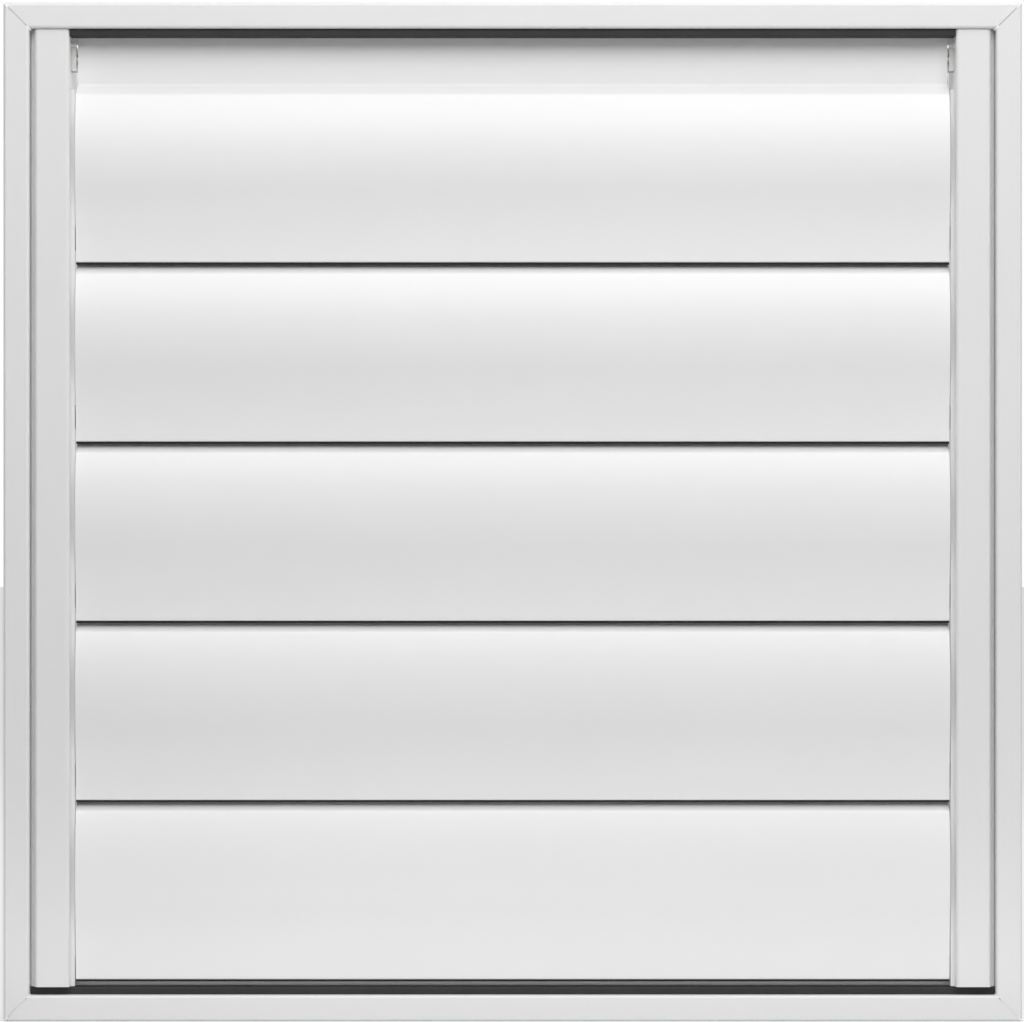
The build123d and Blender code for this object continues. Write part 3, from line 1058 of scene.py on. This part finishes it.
    def build(self) -> None:
        """Draws out each blade and its seal at its own pivot."""
        section = self.section()
        seal = self.seal_section()
        corner = self.top - self.upstand - self.corner_drop
        for number, (depth, height) in self.pivots.items():
            blade = self.shop.extrude(
                f"blade_{number}_face",
                [(y + depth, z + height) for y, z in section],
                (-self.half, self.half),
                Palette.BLADE_ENAMEL_PAINTED_LIGHT,
                relief=self.relief,
                corner_height=height + corner,
                corner_radius=self.corner_radius,
            )
            attach(blade, Palette.BLADE_ENAMEL_PAINTED_LIGHT, f"blade_{number}")
            strip = self.shop.extrude(
                f"blade_seal_{number}_strip",
                [(y + depth, z + height) for y, z in seal],
                (-self.half, self.half),
                Palette.RUBBER,
            )
            attach(strip, Palette.RUBBER, f"blade_seal_{number}")


@dataclass
class FixedStrips:
    """The sill stop and the two fixed seals, each drawn from the node it stands for."""

    shop: Workshop
    stop_wall: float = 1.4
    stop_radius: float = 0.8
    edge_radius: float = 0.3
    seal_radius: float = 0.5

    def build(self) -> None:
        """Draws out the stop and the seals."""
        self.strip("sill_stop", Palette.ENAMEL, self.stop_section)
        for node in ("head_seal", "sill_seal"):
            self.strip(node, Palette.RUBBER, self.seal_section)

    def strip(self, node: str, finish: Finish, section: Callable[[Vector, Vector], list[Point]]) -> None:
        """Draws out one strip over its node's own box.

        Args:
            node: The node it stands for.
            finish: Its finish.
            section: The method that gives its outline from the box's corners.
        """
        low, high = (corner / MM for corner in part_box(node))
        piece = self.shop.extrude(f"{node}_strip", section(low, high), (low.x, high.x), finish)
        attach(piece, finish, node)

    def stop_section(self, low: Vector, high: Vector) -> list[Point]:
        """The stop's angle section in its box."""
        return rounded(
            [
                (low.y, low.z, self.stop_radius),
                (high.y, low.z, self.edge_radius),
                (high.y, low.z + self.stop_wall, self.edge_radius),
                (low.y + self.stop_wall, low.z + self.stop_wall, self.edge_radius),
                (low.y + self.stop_wall, high.z, self.edge_radius),
                (low.y, high.z, self.edge_radius),
            ]
        )

    def seal_section(self, low: Vector, high: Vector) -> list[Point]:
        """A flat seal's section in its box."""
        corners = [(low.y, low.z), (high.y, low.z), (high.y, high.z), (low.y, high.z)]
        return rounded([(depth, height, self.seal_radius) for depth, height in corners])


@dataclass
class Rivets:
    """Blind rivets that hold the pivot rails and the sill stop."""

    shop: Workshop
    head_radius: float = 3.2
    head: float = 1.0
    shank_radius: float = 1.6
    tail_radius: float = 2.3
    tail: float = 1.6
    mandrel_radius: float = 0.85
    mandrel_depth: float = 0.45
    mandrel_taper: float = 0.8
    dome_step: float = 15.0
    sharp_angle: float = 50.0
    sides: int = 32

    def profile(self, grip: float) -> list[Point]:
        """Half outline (radius, height) from the mandrel's hole over the head to the tail."""
        dome = arc((0.0, 0.0), 1.0, 90.0, 0.0, self.dome_step)
        rim = self.head_radius - self.mandrel_radius
        shoulder = [(self.mandrel_radius + rim * x, self.head * y) for x, y in dome]
        tail_top = -grip
        tail_end = tail_top - self.tail
        slant = self.tail / 3
        return [
            (0.0, self.head - self.mandrel_depth),
            (self.mandrel_radius * self.mandrel_taper, self.head - self.mandrel_depth),
            *shoulder,
            (self.shank_radius, 0.0),
            (self.shank_radius, tail_top),
            (self.tail_radius, tail_top - slant),
            (self.tail_radius, tail_end + slant),
            (self.shank_radius, tail_end),
            (0.0, tail_end),
        ]

    def mesh(self, grip: float) -> bpy.types.Mesh:
        """One rivet about the origin, head up, with its seat at height 0.

        Args:
            grip: The thickness that it holds, in millimetres.

        Returns:
            The closed mesh.
        """
        shape = bmesh.new()
        rings: list[list[bmesh.types.BMVert]] = []
        for radius, height in self.profile(grip):
            count = self.sides if radius > 0 else 1
            angles = [2 * math.pi * n / count for n in range(count)]
            rings.append(
                [
                    shape.verts.new((radius * MM * math.cos(a), radius * MM * math.sin(a), height * MM))
                    for a in angles
                ]
            )
        for upper, lower in zip(rings, rings[1:]):
            for n in range(self.sides):
                m = (n + 1) % self.sides
                corners = ((upper, n), (lower, n), (lower, m), (upper, m))
                shape.faces.new(list(dict.fromkeys(ring[k % len(ring)] for ring, k in corners)))
        for made in shape.faces:
            made.smooth = True
        bmesh.ops.recalc_face_normals(shape, faces=shape.faces)
        mesh = bpy.data.meshes.new("rivet")
        shape.to_mesh(mesh)
        shape.free()
        mesh.set_sharp_from_angle(angle=math.radians(self.sharp_angle))
        return mesh

    def build(self) -> None:
        """Sets the rivets where their nodes' solids lie."""
        quarter = math.pi / 2
        for node, rotation, axis, outward in (
            ("left_rail_rivets", (0.0, -quarter, 0.0), 0, -1),
            ("right_rail_rivets", (0.0, quarter, 0.0), 0, 1),
            ("sill_stop_rivets", (0.0, 0.0, 0.0), 2, 1),
        ):
            low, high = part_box(node)
            reach = high[axis] - low[axis]
            grip = reach / MM - self.head - self.tail
            seat = high[axis] - self.head * MM if outward > 0 else low[axis] + self.head * MM
            along = 2 if axis == 0 else 0
            ends = []
            for limit, side in ((low, 1), (high, -1)):
                place = (low + high) / 2
                place[axis] = seat
                place[along] = limit[along] + side * self.head_radius * MM
                ends.append(place)
            places = [ends[0], (ends[0] + ends[1]) / 2, ends[1]]
            row = self.shop.repeat(f"{node}_row", self.mesh(grip), places, rotation, Palette.ALUMINIUM)
            attach(row, Palette.ALUMINIUM, node)


@dataclass
class Hardware:
    """Bushes, pins, link pieces and corner keys: the nodes' own shapes with eased edges."""

    shop: Workshop
    merge_distance: float = 0.002
    flat_angle: float = 1.0
    sharp_angle: float = 35.0
    segments: int = 2

    def build(self) -> None:
        """Eases each small node's edges and dresses it."""
        slots = {finish.slot: finish for finish in (Palette.ALUMINIUM, Palette.ZINC, Palette.NYLON)}
        widths = {"bush": 0.3, "pin": 0.25, "lug": 0.2, "bar": 0.25, "key": 0.2}
        for row in frame["record"]["subparts"]:
            node = row["node"]
            words = node.split("_")
            kind = next((word for word in words if word in widths), None)
            if row["material_slot"] in slots and kind and "rivets" not in words:
                self.ease(node, widths[kind], slots[row["material_slot"]])

    def ease(self, node: str, width: float, finish: Finish) -> None:
        """Copies a node's mesh, joins its triangles and rounds its edges.

        Args:
            node: The node.
            width: How far the rounding reaches from an edge, in millimetres.
            finish: Its finish.
        """
        shape = bmesh.new()
        shape.from_mesh(frame["nodes"][node].data)
        bmesh.ops.remove_doubles(shape, verts=shape.verts, dist=self.merge_distance * MM)
        bmesh.ops.dissolve_limit(
            shape, angle_limit=math.radians(self.flat_angle), verts=shape.verts, edges=shape.edges
        )
        mesh = bpy.data.meshes.new(f"{node}_eased")
        shape.to_mesh(mesh)
        shape.free()
        mesh.materials.clear()
        mesh.materials.append(self.shop.palette.of(finish))
        mesh.shade_smooth()
        piece = bpy.data.objects.new(f"{node}_eased", mesh)
        bpy.context.scene.collection.objects.link(piece)
        bevel = piece.modifiers.new("edges", "BEVEL")
        bevel.width = width * MM
        bevel.segments = self.segments
        bevel.limit_method = "ANGLE"
        bevel.angle_limit = math.radians(self.sharp_angle)
        bevel.use_clamp_overlap = True
        piece.modifiers.new("normals", "WEIGHTED_NORMAL")
        keep_shape(piece)
        attach(piece, finish, node)


# Studio


@dataclass(frozen=True)
class Lamp:
    """A soft rectangular light that faces a height on the shutter's middle line."""

    name: str
    power: float
    place: Place
    size: tuple[float, float]
    aim: float = 0.0
    spread: float = 180.0

    def hang(self, middle: Vector) -> None:
        """Hangs the light, out of the camera's sight.

        Args:
            middle: The shutter's middle.
        """
        lamp = bpy.data.lights.new(self.name, "AREA")
        lamp.shape = "RECTANGLE"
        lamp.size, lamp.size_y = self.size
        lamp.energy = self.power
        lamp.spread = math.radians(self.spread)
        made = bpy.data.objects.new(self.name, lamp)
        made.location = self.place
        made.visible_camera = False
        target = Vector((middle.x, middle.y, self.aim))
        made.rotation_euler = (target - Vector(self.place)).to_track_quat("-Z", "Y").to_euler()
        bpy.context.scene.collection.objects.link(made)


@dataclass
class Studio:
    """Floor, soft lights and the camera, straight in front of the shutter."""

    image_width: float = 1024.0
    image_height: float = 1022.0
    left_edge: float = 3.2
    right_edge: float = 1022.2
    top_edge: float = 2.4
    bottom_edge: float = 1021.4
    camera_distance: float = 2.1
    camera_reach: float = 100.0
    sensor: float = 36.0
    floor_half: float = 12.0
    floor_colour: Colour = (0.86, 0.86, 0.86)
    floor_roughness: float = 0.9
    floor_glow: float = 0.65
    ambient: float = 0.11
    lamps: tuple[Lamp, ...] = (
        Lamp("key_light", 13.6, (0.15, -0.9, 0.9), (1.6, 0.8)),
        Lamp("top_light", 4.5, (0.1, -0.35, 1.3), (1.6, 0.5)),
        Lamp("floor_light", 0.03, (0.0, -0.14, -0.222), (1.0, 0.005), aim=-0.185, spread=70.0),
        Lamp("rear_light", 9.0, (0.7, 1.2, 0.8), (1.6, 0.8)),
    )

    def build(self) -> None:
        """Makes the floor, world, lights and camera."""
        low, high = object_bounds()
        self.floor(low.z)
        self.world()
        for lamp in self.lamps:
            lamp.hang((low + high) / 2)
        self.camera(low, high)
        bpy.context.scene.view_settings.view_transform = "Standard"

    def floor(self, height: float) -> None:
        """Lays the floor.

        Args:
            height: Where the shutter's lowest edge is.
        """
        reach = self.floor_half
        mesh = bpy.data.meshes.new("floor")
        corners = [(-reach, -reach), (reach, -reach), (reach, reach), (-reach, reach)]
        mesh.from_pydata([(x, y, height) for x, y in corners], [], [(0, 1, 2, 3)])
        floor = bpy.data.objects.new("floor", mesh)
        bpy.context.scene.collection.objects.link(floor)
        made = bpy.data.materials.new("studio_floor")
        made.use_nodes = True
        pen = NodePen(made.node_tree)
        shader = pen.tree.nodes["Principled BSDF"]
        shader.inputs["Base Color"].default_value = (*self.floor_colour, 1.0)
        shader.inputs["Roughness"].default_value = self.floor_roughness
        glow = pen.node("ShaderNodeEmission", {"Color": (1.0, 1.0, 1.0, 1.0), "Strength": 1.0})
        path = pen.node("ShaderNodeLightPath")
        share = pen.maths("MULTIPLY", path.outputs["Is Camera Ray"], self.floor_glow)
        mixed = pen.node("ShaderNodeMixShader", {"Fac": share, 1: shader.outputs[0], 2: glow.outputs[0]})
        pen.join(mixed.outputs[0], pen.tree.nodes["Material Output"].inputs["Surface"])
        mesh.materials.append(made)
        floor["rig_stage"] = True

    def world(self) -> None:
        """Even ambient light, seen as plain white."""
        world = bpy.data.worlds.new("studio")
        world.use_nodes = True
        bpy.context.scene.world = world
        pen = NodePen(world.node_tree)
        background = pen.tree.nodes["Background"]
        background.inputs["Color"].default_value = (1.0, 1.0, 1.0, 1.0)
        path = pen.node("ShaderNodeLightPath")
        seen = pen.maths("MAXIMUM", path.outputs["Is Camera Ray"], path.outputs["Is Glossy Ray"])
        seen = pen.maths("MAXIMUM", seen, path.outputs["Is Transmission Ray"])
        strength = pen.node("ShaderNodeMix", {"Factor": seen, "A": self.ambient, "B": 1.0}, data_type="FLOAT")
        pen.join(strength.outputs["Result"], background.inputs["Strength"])

    def camera(self, low: Vector, high: Vector) -> None:
        """Points the camera along +Y so that the frame fills the picture.

        Args:
            low: The shutter's lowest corner.
            high: Its highest corner.
        """
        lens = bpy.data.cameras.new("front_camera")
        lens.sensor_width = self.sensor
        metres_per_pixel = (high.x - low.x) / (self.right_edge - self.left_edge)
        lens.lens = self.camera_distance * self.sensor / (self.image_width * metres_per_pixel)
        lens.clip_end = self.camera_reach
        made = bpy.data.objects.new("front_camera", lens)
        drift = (self.image_width - self.left_edge - self.right_edge) / 2 * metres_per_pixel
        rise = (self.top_edge + self.bottom_edge - self.image_height) / 2 * metres_per_pixel
        centre = (low + high) / 2
        made.location = (centre.x + drift, low.y - self.camera_distance, centre.z + rise)
        made.rotation_euler = (math.pi / 2, 0.0, 0.0)
        bpy.context.scene.collection.objects.link(made)
        bpy.context.scene.camera = made


def main() -> None:
    """Builds every sub-assembly in order, then the studio."""
    logging.basicConfig(level=logging.INFO, format="%(name)s: %(message)s")
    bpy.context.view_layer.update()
    shop = Workshop(Palette())
    for assembly in (FrameBars, PivotRails, Blades, FixedStrips, Rivets, Hardware):
        assembly(shop).build()
    Studio().build()


if __name__ == "__main__":
    main()
